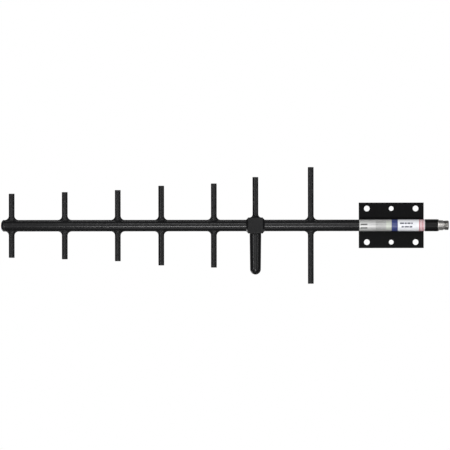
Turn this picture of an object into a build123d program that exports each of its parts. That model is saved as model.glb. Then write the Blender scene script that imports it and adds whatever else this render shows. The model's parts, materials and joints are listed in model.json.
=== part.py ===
from build123d import *
from math import cos, radians, sin
import os

# Seven-element yagi antenna for about 800 to 960 MHz, welded from aluminium tube and rod.
#
# Frame, in millimetres: +X runs along the boom, from its front cap to its coaxial jack. +Z runs
# up along the elements. +Y points from the boom to the mast. The origin is the centre of the
# mounting plate's rear face, which is the face that bears on the mast.

# Mounting plate
PLATE_LENGTH = 107.2
PLATE_HEIGHT = 75.2
PLATE_THICKNESS = 4.76
HOLE_COLUMN_SPACING = 80.5
HOLE_ROW_SPACING = 55.56
CORNER_HOLE_DIAMETER = 9.525
CENTRE_HOLE_DIAMETER = 7.94

# Boom, a 3/4 inch tube
BOOM_RADIUS = 19.05 / 2
BOOM_WALL = 1.65
BOOM_BORE_RADIUS = BOOM_RADIUS - BOOM_WALL
BOOM_FRONT = -638.0
BOOM_REAR = 75.9
BOOM_Y = -(PLATE_THICKNESS + BOOM_RADIUS)

# Front cap
CAP_DOME = 4.6
CAP_RIM = 1.7
CAP_SPIGOT = 5.5
ROUNDNESS = 0.5523  # where a Bezier curve's middle points stand for a quarter of an ellipse

# Elements, 3/8 inch rods: the station of each along the boom, and its whole length
ROD_RADIUS = 9.525 / 2
ROD_EDGE = 0.7
ROD_HOLE_GAP = 0.05
DIRECTORS = [(-626.6, 105.8), (-539.0, 110.9), (-451.5, 117.4), (-379.8, 131.5), (-293.0, 138.8)]
REFLECTOR_X = -133.1
REFLECTOR_LENGTH = 192.5
ELEMENT_WELD_RADIUS = 6.2

# Driven element and its feed block, which fits over the boom
DRIVEN_X = -224.4
DRIVEN_TOP = 79.9
BLOCK_LENGTH = 25.0
BLOCK_DEPTH = 25.4
BLOCK_HEIGHT = 26.4
BLOCK_EDGE = 0.8
BLOCK_WELD_LEG = 3.0
DRIVEN_WELD_RADIUS = 5.0
UPPER_ROD_INNER_END = 4.0

# Lower half of the driven element and the gamma match beside it, under the cover
LOWER_ROD_RADIUS = 6.35 / 2
LOWER_ROD_OFFSET = -2.5
LOWER_ROD_TOP = -6.5
LOWER_ROD_END = -75.0
GAMMA_OFFSET = 4.6
GAMMA_TUBE_RADIUS = 1.6
GAMMA_TUBE_BORE = 0.8
GAMMA_TUBE_TOP = -17.5
GAMMA_TUBE_END = -62.0
DIELECTRIC_END = -54.0
CENTRE_WIRE_END = -52.0
STRAP_Z = -50.0
STRAP_HEIGHT = 6.0
STRAP_ROD_WALL = 1.1
STRAP_TUBE_WALL = 0.9
STRAP_SLIT = 0.8
STRAP_SCREW_RADIUS = 1.0
STRAP_SCREW_HEAD_RADIUS = 1.9
STRAP_SCREW_HEAD = 1.5
SPACER_Z = -60.0
SPACER_HEIGHT = 3.0
SPACER_GAP = 0.1

# Cover over the gamma match, with a draft and a round end, on a ring at the block's underside
COVER_TOP_RADIUS = 9.45
COVER_END_RADIUS = 8.72
COVER_WALL = 1.2
COVER_TIP = -81.0
RING_LENGTH = 6.0
RING_RADIUS = 8.15
RING_BORE = 6.5
GASKET_HEIGHT = 0.8

# Feed cable inside the boom, 2.5 mm over its jacket, and the ferrule that grounds its braid
CABLE_RADIUS = 1.25
DIELECTRIC_RADIUS = 0.75
CENTRE_WIRE_RADIUS = 0.25
CABLE_SIDE = 6.3
CABLE_TOP = 6.2
CABLE_LEAVES_AXIS = 38.0
CABLE_SIDE_START = -20.0
CABLE_SIDE_END = -146.0
CABLE_TOP_START = -190.0
CABLE_DOWN_BEND = 12.4
CABLE_EASY_BEND = 150.0
FERRULE_RADIUS = 1.8
FERRULE_TOP = -7.9
FERRULE_END = -14.2

# Coaxial jack, type N, whose shell is held in the boom by a bushing and two set screws
JACK_REAR = 62.0
JACK_SPIGOT_RADIUS = 6.35
JACK_FLANGE_END = 78.3
JACK_BODY_RADIUS = 8.25
JACK_BODY_END = 85.1
JACK_UNDERCUT_RADIUS = 7.4
JACK_UNDERCUT_END = 87.2
JACK_THREAD_RADIUS = 15.9 / 2
JACK_FRONT = 94.4
JACK_CHAMFER = 1.2
JACK_BORE_RADIUS = 8.1 / 2
JACK_BORE_REAR = 67.0
JACK_MOUTH_CHAMFER = 0.5
INSULATOR_FRONT = 85.3
CONTACT_RADIUS = 1.52
CONTACT_BORE = 0.85
CONTACT_BORE_DEPTH = 8.0
CONTACT_REAR = 68.5
CONTACT_FRONT = 89.6
CONTACT_SLOT = 0.35
CONTACT_SLOT_LENGTH = 4.0
CUP_DEPTH = 3.5
BUSHING_FRONT_GAP = 0.1
SET_SCREW_X = 69.0
SET_SCREW_RADIUS = 1.75
SET_SCREW_OUTER = 9.3
SET_SCREW_KEY_RADIUS = 0.9
SET_SCREW_KEY_DEPTH = 1.6

# Weather sleeve over the boom's rear end and the joint with the jack's flange
SLEEVE_FRONT = 55.4
SLEEVE_REAR = 76.7
SLEEVE_WALL = 0.45

# Labels round the front of the boom
LABEL_THICKNESS = 0.15
LABEL_HALF_ANGLE = 100.0
DATA_LABEL = (-53.2, 0.2)
STRIPE_LABEL = (0.5, 55.0)

# Stitch welds between the boom and the plate
STITCH_LENGTH = 24.0
STITCH_CENTRES = (-36.0, 36.0)
STITCH_INNER = 3.5
STITCH_OUTER = 8.4
STITCH_TOE = 7.3
STITCH_TOP = 3.4

# Longer than anything that a drill or a saw goes through
CUT_LENGTH = 60.0

MIN_END = (Align.CENTER, Align.CENTER, Align.MIN)


def bar_along_boom(radius, x_start, x_end):
    """A round bar on the boom's axis."""
    return Pos(x_start, BOOM_Y, 0) * Rot(0, 90, 0) * Cylinder(radius, x_end - x_start, align=MIN_END)


def upright_bar(radius, x, z_start, z_end):
    """A round bar parallel to the elements, over the boom's axis."""
    return Pos(x, BOOM_Y, z_start) * Cylinder(radius, z_end - z_start, align=MIN_END)


def turned_on_boom(outline):
    """The solid turned about the boom's axis from an outline of (x, radius) points."""
    return Pos(0, BOOM_Y, 0) * revolve(make_face(Polyline(*outline, close=True)), Axis.X)


def softened_rod(radius, x, z_start, z_end):
    """An upright rod with both ends cut square and their edges broken."""
    rod = upright_bar(radius, x, z_start, z_end)
    return fillet(rod.edges().filter_by(GeomType.CIRCLE), ROD_EDGE)


def element_rod(x, length):
    """A director or the reflector: one rod, through the boom and centred on it."""
    return softened_rod(ROD_RADIUS, x, -length / 2, length / 2)


def element_welds(x):
    """The concave welds that join one element to the boom, one above and one below."""
    reach = BOOM_RADIUS + 2 * ELEMENT_WELD_RADIUS
    joined = bar_along_boom(BOOM_RADIUS, x - reach, x + reach) + upright_bar(ROD_RADIUS, x, -reach, reach)
    corners = joined.edges().filter_by(GeomType.CIRCLE, reverse=True).filter_by(GeomType.LINE, reverse=True)
    return fillet(corners, ELEMENT_WELD_RADIUS) - joined


def boom_tube():
    """The boom, drilled for every element and for the two set screws of the bushing."""
    tube = bar_along_boom(BOOM_RADIUS, BOOM_FRONT, BOOM_REAR)
    tube -= bar_along_boom(BOOM_BORE_RADIUS, BOOM_FRONT, BOOM_REAR)
    hole_radius = ROD_RADIUS + ROD_HOLE_GAP
    for x in [station for station, length in DIRECTORS] + [REFLECTOR_X]:
        tube -= upright_bar(hole_radius, x, -BOOM_RADIUS, BOOM_RADIUS)
    tube -= upright_bar(hole_radius, DRIVEN_X, 0, BOOM_RADIUS)
    tube -= lower_rod_hole()
    tube -= ferrule_hole()
    tube -= upright_bar(SET_SCREW_RADIUS, SET_SCREW_X, -BOOM_RADIUS, BOOM_RADIUS)
    return tube


def boom_front_cap():
    """A low dome with a short rim, pressed into the boom by a spigot."""
    dome_base = BOOM_FRONT - CAP_RIM
    spigot_end = BOOM_FRONT + CAP_SPIGOT
    spigot_radius = BOOM_BORE_RADIUS - ROD_HOLE_GAP
    tip = dome_base - CAP_DOME
    dome = Bezier(
        (dome_base, BOOM_RADIUS),
        (dome_base - ROUNDNESS * CAP_DOME, BOOM_RADIUS),
        (tip, ROUNDNESS * BOOM_RADIUS),
        (tip, 0),
    )
    rest = Polyline(
        (tip, 0),
        (spigot_end, 0),
        (spigot_end, spigot_radius),
        (BOOM_FRONT, spigot_radius),
        (BOOM_FRONT, BOOM_RADIUS),
        (dome_base, BOOM_RADIUS),
    )
    return Pos(0, BOOM_Y, 0) * revolve(make_face(dome + rest), Axis.X)


def lower_rod_hole():
    """The hole in the boom and the block for the driven element's lower half."""
    x = DRIVEN_X + LOWER_ROD_OFFSET
    return upright_bar(LOWER_ROD_RADIUS + ROD_HOLE_GAP, x, -BLOCK_HEIGHT, LOWER_ROD_TOP)


def ferrule_hole():
    """The hole in the boom and the block for the ferrule."""
    return upright_bar(FERRULE_RADIUS, DRIVEN_X + GAMMA_OFFSET, -BLOCK_HEIGHT, LOWER_ROD_TOP)


def feed_block():
    """The block on the boom at the driven element, with a ring below for the cover."""
    half = BLOCK_HEIGHT / 2
    block = fillet(Box(BLOCK_LENGTH, BLOCK_DEPTH, BLOCK_HEIGHT).edges(), BLOCK_EDGE)
    block = Pos(DRIVEN_X, BOOM_Y, 0) * block
    block += upright_bar(RING_RADIUS, DRIVEN_X, -half - RING_LENGTH, -half + BLOCK_EDGE)
    block -= upright_bar(RING_BORE, DRIVEN_X, -half - RING_LENGTH, -half)
    block -= bar_along_boom(BOOM_RADIUS, DRIVEN_X - BLOCK_LENGTH, DRIVEN_X + BLOCK_LENGTH)
    block -= upright_bar(ROD_RADIUS + ROD_HOLE_GAP, DRIVEN_X, 0, half)
    return block - lower_rod_hole() - ferrule_hole()


def feed_block_welds():
    """The sloping welds round the boom at the block's two ends."""
    welds = Part()
    for side in (-1, 1):
        face = DRIVEN_X + side * BLOCK_LENGTH / 2
        corner = (face, BOOM_RADIUS)
        toe = (face + side * BLOCK_WELD_LEG, BOOM_RADIUS)
        top = (face, BOOM_RADIUS + BLOCK_WELD_LEG)
        welds += turned_on_boom([corner, toe, top])
    return welds


def driven_rod_upper():
    """The bare upper half of the driven element, through the block into the boom."""
    return softened_rod(ROD_RADIUS, DRIVEN_X, UPPER_ROD_INNER_END, DRIVEN_TOP)


def driven_rod_weld():
    """The concave weld round the upper half, on top of the block."""
    base = BLOCK_HEIGHT / 2
    leg = DRIVEN_WELD_RADIUS
    middle = leg * (1 - cos(radians(45)))
    toe = (ROD_RADIUS + leg, base)
    top = (ROD_RADIUS, base + leg)
    hollow = ThreePointArc(toe, (ROD_RADIUS + middle, base + middle), top)
    sides = Polyline(top, (ROD_RADIUS, base), toe)
    ring = revolve(Plane.XZ * make_face(hollow + sides), Axis.Z)
    return Pos(DRIVEN_X, BOOM_Y, 0) * ring


def driven_rod_lower():
    """The lower half of the driven element, which the cover hides."""
    return softened_rod(LOWER_ROD_RADIUS, DRIVEN_X + LOWER_ROD_OFFSET, LOWER_ROD_END, LOWER_ROD_TOP)


def gamma_tube():
    """The brass tube that the cable's core goes into, which makes the series capacitor."""
    x = DRIVEN_X + GAMMA_OFFSET
    tube = upright_bar(GAMMA_TUBE_RADIUS, x, GAMMA_TUBE_END, GAMMA_TUBE_TOP)
    return tube - upright_bar(GAMMA_TUBE_BORE, x, GAMMA_TUBE_END, GAMMA_TUBE_TOP)


def strap_screw_x():
    """The middle of the gap between the lower rod and the gamma tube."""
    rod_side = LOWER_ROD_OFFSET + LOWER_ROD_RADIUS
    tube_side = GAMMA_OFFSET - GAMMA_TUBE_RADIUS
    return DRIVEN_X + (rod_side + tube_side) / 2


def strap_half_width():
    """Half the strap's width where its screw crosses it."""
    return (LOWER_ROD_RADIUS + STRAP_ROD_WALL + GAMMA_TUBE_RADIUS + STRAP_TUBE_WALL) / 2


def strap_screw():
    """The pinch screw of the strap, with its head at the front."""
    half = strap_half_width()
    shank = Cylinder(STRAP_SCREW_RADIUS, 2 * half)
    head = Pos(0, 0, half + STRAP_SCREW_HEAD / 2) * Cylinder(STRAP_SCREW_HEAD_RADIUS, STRAP_SCREW_HEAD)
    key = Pos(0, 0, half + STRAP_SCREW_HEAD) * Box(2 * STRAP_SCREW_HEAD_RADIUS, STRAP_SLIT / 2, STRAP_SLIT)
    return Pos(strap_screw_x(), BOOM_Y, STRAP_Z) * Rot(90, 0, 0) * (shank + head - key)


def gamma_strap():
    """The clamp that joins the gamma tube to the lower rod, slit so that its screw can pinch it."""
    rod_end = Pos(LOWER_ROD_OFFSET, 0) * Circle(LOWER_ROD_RADIUS + STRAP_ROD_WALL)
    tube_end = Pos(GAMMA_OFFSET, 0) * Circle(GAMMA_TUBE_RADIUS + STRAP_TUBE_WALL)
    outline = make_hull((rod_end + tube_end).edges())
    outline -= Pos(LOWER_ROD_OFFSET, 0) * Circle(LOWER_ROD_RADIUS)
    outline -= Pos(GAMMA_OFFSET, 0) * Circle(GAMMA_TUBE_RADIUS)
    slit_end = GAMMA_OFFSET + 2 * GAMMA_TUBE_RADIUS
    outline -= Pos((LOWER_ROD_OFFSET + slit_end) / 2, 0) * Rectangle(slit_end - LOWER_ROD_OFFSET, STRAP_SLIT)
    strap = Pos(DRIVEN_X, BOOM_Y, STRAP_Z - STRAP_HEIGHT / 2) * extrude(outline, STRAP_HEIGHT)
    half = strap_half_width()
    hole = Rot(90, 0, 0) * Cylinder(STRAP_SCREW_RADIUS, CUT_LENGTH)
    flat_depth = 2 * half
    flat = Pos(0, -half - flat_depth / 2, 0) * Box(2 * STRAP_SCREW_HEAD_RADIUS, flat_depth, STRAP_HEIGHT)
    return strap - Pos(strap_screw_x(), BOOM_Y, STRAP_Z) * (hole + flat)


def gamma_spacer():
    """The insulating disc that keeps the gamma tube at its distance, inside the cover."""
    bore = cover_radius(SPACER_Z - SPACER_HEIGHT / 2) - COVER_WALL - SPACER_GAP
    low = SPACER_Z - SPACER_HEIGHT / 2
    high = SPACER_Z + SPACER_HEIGHT / 2
    disc = upright_bar(bore, DRIVEN_X, low, high)
    disc -= upright_bar(LOWER_ROD_RADIUS, DRIVEN_X + LOWER_ROD_OFFSET, low, high)
    return disc - upright_bar(GAMMA_TUBE_RADIUS, DRIVEN_X + GAMMA_OFFSET, low, high)


def cover_rim():
    """The height of the cover's open rim, under the gasket."""
    return -BLOCK_HEIGHT / 2 - GASKET_HEIGHT


def cover_radius(z):
    """The cover's outer radius at a height on its drafted length."""
    along = (z - cover_rim()) / (COVER_TIP + COVER_END_RADIUS - cover_rim())
    return COVER_TOP_RADIUS + along * (COVER_END_RADIUS - COVER_TOP_RADIUS)


def cover_form(inset):
    """The cover's round-ended drafted form, as a solid set in from its outside."""
    centre = COVER_TIP + COVER_END_RADIUS
    end_radius = COVER_END_RADIUS - inset
    top = (COVER_TOP_RADIUS - inset, cover_rim())
    sides = Polyline((0, centre - end_radius), (0, cover_rim()), top, (end_radius, centre))
    middle = end_radius * sin(radians(45))
    tip = ThreePointArc((end_radius, centre), (middle, centre - middle), (0, centre - end_radius))
    return Pos(DRIVEN_X, BOOM_Y, 0) * revolve(Plane.XZ * make_face(sides + tip), Axis.Z)


def gamma_cover():
    """The moulded cover over the gamma match and the driven element's lower half."""
    return cover_form(0) - cover_form(COVER_WALL)


def cover_gasket():
    """The flat gasket between the block and the cover's rim."""
    ring = upright_bar(COVER_TOP_RADIUS, DRIVEN_X, cover_rim(), -BLOCK_HEIGHT / 2)
    return ring - upright_bar(RING_RADIUS, DRIVEN_X, cover_rim(), -BLOCK_HEIGHT / 2)


def cable_route(x_start, z_end):
    """The cable's line: off the axis to pass beside the reflector, then over and down to the ferrule."""
    x_end = DRIVEN_X + GAMMA_OFFSET
    corners = [
        (x_start, BOOM_Y, 0),
        (CABLE_LEAVES_AXIS, BOOM_Y, 0),
        (CABLE_SIDE_START, BOOM_Y - CABLE_SIDE, 0),
        (CABLE_SIDE_END, BOOM_Y - CABLE_SIDE, 0),
        (CABLE_TOP_START, BOOM_Y, CABLE_TOP),
        (x_end, BOOM_Y, CABLE_TOP),
        (x_end, BOOM_Y, z_end),
    ]
    bends = [CABLE_EASY_BEND] * (len(corners) - 3) + [CABLE_DOWN_BEND]
    return FilletPolyline(*corners, radius=bends)


def cable_layer(outer, inner, x_start, z_end):
    """One layer of the cable, from inner to outer radius, swept along the route."""
    route = cable_route(x_start, z_end)
    section = Circle(outer)
    if inner > 0:
        section -= Circle(inner)
    start = Plane(origin=route @ 0, z_dir=route % 0)
    layer = sweep(start * section, path=route)
    print(f"cable layer {outer} mm: volume {layer.volume:.2f}, section x length {section.area * route.length:.2f}")
    print(f"bend radii {CABLE_EASY_BEND} and {CABLE_DOWN_BEND} mm")
    return layer


def feed_coax():
    """The cable's jacket and braid, from the jack's shell to the end of the ferrule."""
    return cable_layer(CABLE_RADIUS, DIELECTRIC_RADIUS, JACK_REAR, FERRULE_END)


def coax_dielectric():
    """The cable's dielectric, which goes on into the gamma tube."""
    return cable_layer(DIELECTRIC_RADIUS, CENTRE_WIRE_RADIUS, JACK_BORE_REAR, DIELECTRIC_END)


def coax_centre_wire():
    """The cable's centre wire, from the jack's contact to inside the gamma tube."""
    return cable_layer(CENTRE_WIRE_RADIUS, 0, CONTACT_REAR + CUP_DEPTH, CENTRE_WIRE_END)


def coax_ferrule():
    """The brass ferrule, soldered to the braid and pressed into the block."""
    x = DRIVEN_X + GAMMA_OFFSET
    ferrule = upright_bar(FERRULE_RADIUS, x, FERRULE_END, FERRULE_TOP)
    return ferrule - upright_bar(CABLE_RADIUS, x, FERRULE_END, FERRULE_TOP)


def mounting_plate():
    """The flat plate with a hole in each corner and two between them."""
    plate = Pos(0, -PLATE_THICKNESS / 2, 0) * Box(PLATE_LENGTH, PLATE_THICKNESS, PLATE_HEIGHT)
    drill = Rot(90, 0, 0) * Cylinder(CORNER_HOLE_DIAMETER / 2, CUT_LENGTH)
    small_drill = Rot(90, 0, 0) * Cylinder(CENTRE_HOLE_DIAMETER / 2, CUT_LENGTH)
    for row in (-HOLE_ROW_SPACING / 2, HOLE_ROW_SPACING / 2):
        plate -= Pos(0, 0, row) * small_drill
        for column in (-HOLE_COLUMN_SPACING / 2, HOLE_COLUMN_SPACING / 2):
            plate -= Pos(column, 0, row) * drill
    return plate


def plate_welds():
    """Four stitch welds in the narrowing gaps between the boom and the plate."""
    across_boom = Plane(origin=(0, BOOM_Y, 0), x_dir=(0, 1, 0), z_dir=(1, 0, 0))
    plate_face = BOOM_RADIUS
    welds = Part()
    for side in (-1, 1):
        outline = Polyline(
            (plate_face, side * STITCH_INNER),
            (plate_face, side * STITCH_OUTER),
            (plate_face - STITCH_TOP, side * STITCH_TOE),
            (plate_face - STITCH_TOP, side * STITCH_INNER),
            close=True,
        )
        section = across_boom * (make_face(outline) - Circle(BOOM_RADIUS))
        for centre in STITCH_CENTRES:
            welds += Pos(centre - STITCH_LENGTH / 2, 0, 0) * extrude(section, STITCH_LENGTH)
    return welds


def connector_shell():
    """The jack's plated shell: spigot, flange on the boom's end, body, undercut and thread."""
    shell = turned_on_boom([
        (JACK_REAR, 0),
        (JACK_REAR, JACK_SPIGOT_RADIUS),
        (BOOM_REAR, JACK_SPIGOT_RADIUS),
        (BOOM_REAR, BOOM_RADIUS),
        (JACK_FLANGE_END, BOOM_RADIUS),
        (JACK_FLANGE_END, JACK_BODY_RADIUS),
        (JACK_BODY_END, JACK_BODY_RADIUS),
        (JACK_BODY_END, JACK_UNDERCUT_RADIUS),
        (JACK_UNDERCUT_END, JACK_UNDERCUT_RADIUS),
        (JACK_UNDERCUT_END, JACK_THREAD_RADIUS),
        (JACK_FRONT - JACK_CHAMFER, JACK_THREAD_RADIUS),
        (JACK_FRONT, JACK_THREAD_RADIUS - JACK_CHAMFER),
        (JACK_FRONT, 0),
    ])
    bore = turned_on_boom([
        (JACK_BORE_REAR, 0),
        (JACK_BORE_REAR, JACK_BORE_RADIUS),
        (JACK_FRONT - JACK_MOUTH_CHAMFER, JACK_BORE_RADIUS),
        (JACK_FRONT, JACK_BORE_RADIUS + JACK_MOUTH_CHAMFER),
        (JACK_FRONT, 0),
    ])
    return shell - bore - bar_along_boom(CABLE_RADIUS, JACK_REAR, JACK_BORE_REAR)


def connector_insulator():
    """The white bead that holds the jack's contact on its axis."""
    bead = bar_along_boom(JACK_BORE_RADIUS, JACK_BORE_REAR, INSULATOR_FRONT)
    bead -= bar_along_boom(CONTACT_RADIUS, CONTACT_REAR, INSULATOR_FRONT)
    return bead - bar_along_boom(DIELECTRIC_RADIUS, JACK_BORE_REAR, CONTACT_REAR)


def connector_contact():
    """The jack's slotted centre contact, with a cup behind for the cable's wire."""
    contact = bar_along_boom(CONTACT_RADIUS, CONTACT_REAR, CONTACT_FRONT)
    contact -= bar_along_boom(CONTACT_BORE, CONTACT_FRONT - CONTACT_BORE_DEPTH, CONTACT_FRONT)
    contact -= bar_along_boom(CENTRE_WIRE_RADIUS, CONTACT_REAR, CONTACT_REAR + CUP_DEPTH)
    slot_at = Pos(CONTACT_FRONT - CONTACT_SLOT_LENGTH / 2, BOOM_Y, 0)
    contact -= slot_at * Box(CONTACT_SLOT_LENGTH, CUT_LENGTH, CONTACT_SLOT)
    return contact - slot_at * Box(CONTACT_SLOT_LENGTH, CONTACT_SLOT, CUT_LENGTH)


def connector_bushing():
    """The ring that fills the boom's end round the jack's spigot."""
    ring = bar_along_boom(BOOM_BORE_RADIUS, JACK_REAR, BOOM_REAR - BUSHING_FRONT_GAP)
    ring -= bar_along_boom(JACK_SPIGOT_RADIUS, JACK_REAR, BOOM_REAR)
    return ring - upright_bar(SET_SCREW_RADIUS, SET_SCREW_X, -BOOM_RADIUS, BOOM_RADIUS)


def bushing_screws():
    """The two set screws, above and below, that hold the jack, under the sleeve."""
    screws = Part()
    for side in (-1, 1):
        ends = sorted((side * JACK_SPIGOT_RADIUS, side * SET_SCREW_OUTER))
        key_ends = sorted((side * (SET_SCREW_OUTER - SET_SCREW_KEY_DEPTH), side * SET_SCREW_OUTER))
        screw = upright_bar(SET_SCREW_RADIUS, SET_SCREW_X, *ends)
        screws += screw - upright_bar(SET_SCREW_KEY_RADIUS, SET_SCREW_X, *key_ends)
    return screws


def weather_sleeve():
    """The shrunk sleeve over the boom's end and part of the jack's flange."""
    sleeve = bar_along_boom(BOOM_RADIUS + SLEEVE_WALL, SLEEVE_FRONT, SLEEVE_REAR)
    return sleeve - bar_along_boom(BOOM_RADIUS, SLEEVE_FRONT, SLEEVE_REAR)


def label(x_start, x_end):
    """A thin label wrapped round the front of the boom, open towards the plate."""
    across_boom = Plane(origin=(x_start, BOOM_Y, 0), x_dir=(0, 1, 0), z_dir=(1, 0, 0))
    reach = CUT_LENGTH
    open_half = radians(180 - LABEL_HALF_ANGLE)
    edge_y = reach * cos(open_half)
    edge_z = reach * sin(open_half)
    wedge = make_face(
        Polyline((0, 0), (edge_y, -edge_z), (reach, -edge_z), (reach, edge_z), (edge_y, edge_z), close=True)
    )
    band = Circle(BOOM_RADIUS + LABEL_THICKNESS) - Circle(BOOM_RADIUS) - wedge
    return extrude(across_boom * band, x_end - x_start)


PARTS = {
    "boom_tube": boom_tube(),
    "boom_front_cap": boom_front_cap(),
    "reflector_rod": element_rod(REFLECTOR_X, REFLECTOR_LENGTH),
    "reflector_welds": element_welds(REFLECTOR_X),
    "feed_block": feed_block(),
    "feed_block_welds": feed_block_welds(),
    "driven_rod_upper": driven_rod_upper(),
    "driven_rod_weld": driven_rod_weld(),
    "driven_rod_lower": driven_rod_lower(),
    "gamma_tube": gamma_tube(),
    "gamma_strap": gamma_strap(),
    "strap_screw": strap_screw(),
    "gamma_spacer": gamma_spacer(),
    "gamma_cover": gamma_cover(),
    "cover_gasket": cover_gasket(),
    "feed_coax": feed_coax(),
    "coax_dielectric": coax_dielectric(),
    "coax_centre_wire": coax_centre_wire(),
    "coax_ferrule": coax_ferrule(),
    "mounting_plate": mounting_plate(),
    "plate_welds": plate_welds(),
    "connector_shell": connector_shell(),
    "connector_insulator": connector_insulator(),
    "connector_contact": connector_contact(),
    "connector_bushing": connector_bushing(),
    "bushing_screws": bushing_screws(),
    "weather_sleeve": weather_sleeve(),
    "data_label": label(*DATA_LABEL),
    "stripe_label": label(*STRIPE_LABEL),
}
for number, (station, length) in enumerate(DIRECTORS, start=1):
    PARTS[f"director_rod_{number}"] = element_rod(station, length)
    PARTS[f"director_welds_{number}"] = element_welds(station)

os.makedirs("parts", exist_ok=True)
for node, shape in PARTS.items():
    export_step(shape, f"parts/{node}.step")
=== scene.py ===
import json
from math import acos, cos, pi, radians, sin, sqrt, tau

import bmesh
import bpy
from mathutils import Matrix, Vector, noise


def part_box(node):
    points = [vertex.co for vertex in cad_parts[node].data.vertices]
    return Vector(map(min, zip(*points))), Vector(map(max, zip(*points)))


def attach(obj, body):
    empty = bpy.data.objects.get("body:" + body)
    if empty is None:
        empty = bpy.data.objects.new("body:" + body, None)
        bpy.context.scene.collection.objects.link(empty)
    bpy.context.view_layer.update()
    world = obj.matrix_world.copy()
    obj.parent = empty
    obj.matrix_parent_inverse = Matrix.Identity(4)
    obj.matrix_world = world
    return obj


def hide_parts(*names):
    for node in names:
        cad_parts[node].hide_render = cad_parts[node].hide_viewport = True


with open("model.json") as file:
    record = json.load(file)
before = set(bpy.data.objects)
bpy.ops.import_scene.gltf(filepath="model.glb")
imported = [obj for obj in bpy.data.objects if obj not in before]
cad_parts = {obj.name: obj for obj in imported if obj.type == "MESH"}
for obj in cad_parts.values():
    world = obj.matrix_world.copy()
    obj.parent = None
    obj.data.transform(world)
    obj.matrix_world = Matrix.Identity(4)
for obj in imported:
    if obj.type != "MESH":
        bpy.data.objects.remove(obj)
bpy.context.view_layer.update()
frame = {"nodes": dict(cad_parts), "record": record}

# A black welded yagi antenna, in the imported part's frame: +X along the boom to the jack, +Y to the
# mast, +Z up the elements. Meshes are written in millimetres and made in metres.

NODES = frame["nodes"]
MM = 0.001


def box(node):
    """The lowest and highest corner of a CAD node, in millimetres."""
    low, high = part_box(node)
    return low / MM, high / MM


def middle(node):
    low, high = box(node)
    return (low + high) / 2


# The boom's ends, its axis from the front cap's middle, and the stock sizes of tube and rods
BOOM_LOW, BOOM_HIGH = box("boom_tube")
BOOM_Y = middle("boom_front_cap").y
BOOM_RADIUS = 9.525
BOOM_BORE = 7.875
ROD_RADIUS = 4.7625


# ---------------------------------------------------------------- mesh helpers


def softened(corners, steps=4):
    """A closed outline of (along, radius, cut) corners, each curved over its cut length."""
    outline = []
    for i, (along, radius, cut) in enumerate(corners):
        here = Vector((along, radius))
        if cut == 0:
            outline.append(tuple(here))
            continue
        before = Vector(corners[i - 1][:2])
        after = Vector(corners[(i + 1) % len(corners)][:2])
        start = here + (before - here).normalized() * cut
        end = here + (after - here).normalized() * cut
        for k in range(steps + 1):
            t = k / steps
            outline.append(tuple(start * (1 - t) ** 2 + here * 2 * t * (1 - t) + end * t * t))
    return outline


def divided(outline, step):
    """The closed outline with its long edges divided into pieces of about one step."""
    points = []
    for i, (along, radius) in enumerate(outline):
        next_along, next_radius = outline[(i + 1) % len(outline)]
        length = sqrt((next_along - along) ** 2 + (next_radius - radius) ** 2)
        count = max(1, round(length / step))
        for k in range(count):
            t = k / count
            points.append((along + (next_along - along) * t, radius + (next_radius - radius) * t))
    return points


def grid_faces(rows, columns, close_rows=True, close_columns=True):
    """Quads over a grid of rows by columns of points, joined round either way."""
    faces = []
    for i in range(rows if close_rows else rows - 1):
        for j in range(columns if close_columns else columns - 1):
            after = (i + 1) % rows
            side = (j + 1) % columns
            faces.append((i * columns + j, i * columns + side, after * columns + side, after * columns + j))
    return faces


def tidy_mesh(mesh, crease):
    """Joins doubled points, drops flat faces and faces everything outward."""
    work = bmesh.new()
    work.from_mesh(mesh)
    bmesh.ops.remove_doubles(work, verts=work.verts, dist=1e-6)
    bmesh.ops.dissolve_degenerate(work, edges=work.edges, dist=1e-7)
    bmesh.ops.recalc_face_normals(work, faces=work.faces)
    work.to_mesh(mesh)
    work.free()
    mesh.shade_smooth()
    mesh.set_sharp_from_angle(angle=radians(crease))


def add_piece(name, points, faces, material, slot, nodes, crease=40):
    """A piece of the object from points in millimetres, standing for its CAD nodes."""
    mesh = bpy.data.meshes.new(name)
    mesh.from_pydata([Vector(p) * MM for p in points], [], faces)
    tidy_mesh(mesh, crease)
    piece = bpy.data.objects.new(name, mesh)
    bpy.context.scene.collection.objects.link(piece)
    mesh.materials.append(material)
    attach(piece, "root")
    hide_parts(*nodes)
    return piece


def round_boom(along, radius, angle):
    """A point beside the boom. Angle 0 faces the front, and a quarter turn is the top."""
    return (along, BOOM_Y - radius * cos(angle), radius * sin(angle))


def round_upright(x):
    """Places points round an upright axis that crosses the boom at x. Angle 0 is towards +X."""
    return lambda along, radius, angle: (x + radius * cos(angle), BOOM_Y + radius * sin(angle), along)


def turned(outline, place, segments=96, shape=None):
    """Points and faces of a closed outline of (along, radius), turned round an axis."""
    points = []
    for j in range(segments):
        angle = tau * j / segments
        for along, radius in outline:
            if shape and radius > 0:
                along, radius = shape(along, radius, angle)
            points.append(place(along, radius, angle))
    return points, grid_faces(segments, len(outline))


def cut_away(piece, points, faces):
    """Cuts a closed cutter, in millimetres, out of a piece."""
    cutter_mesh = bpy.data.meshes.new("cutter")
    cutter_mesh.from_pydata([Vector(p) * MM for p in points], [], faces)
    tidy_mesh(cutter_mesh, 40)
    cutter = bpy.data.objects.new("cutter", cutter_mesh)
    bpy.context.scene.collection.objects.link(cutter)
    boolean = piece.modifiers.new("cut", "BOOLEAN")
    boolean.operation = "DIFFERENCE"
    boolean.solver = "EXACT"
    boolean.object = cutter
    bpy.context.view_layer.update()
    evaluated = piece.evaluated_get(bpy.context.evaluated_depsgraph_get())
    cut_mesh = bpy.data.meshes.new_from_object(evaluated)
    piece.modifiers.remove(boolean)
    piece.data = cut_mesh
    bpy.data.objects.remove(cutter)


# ---------------------------------------------------------------- material helpers


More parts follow.
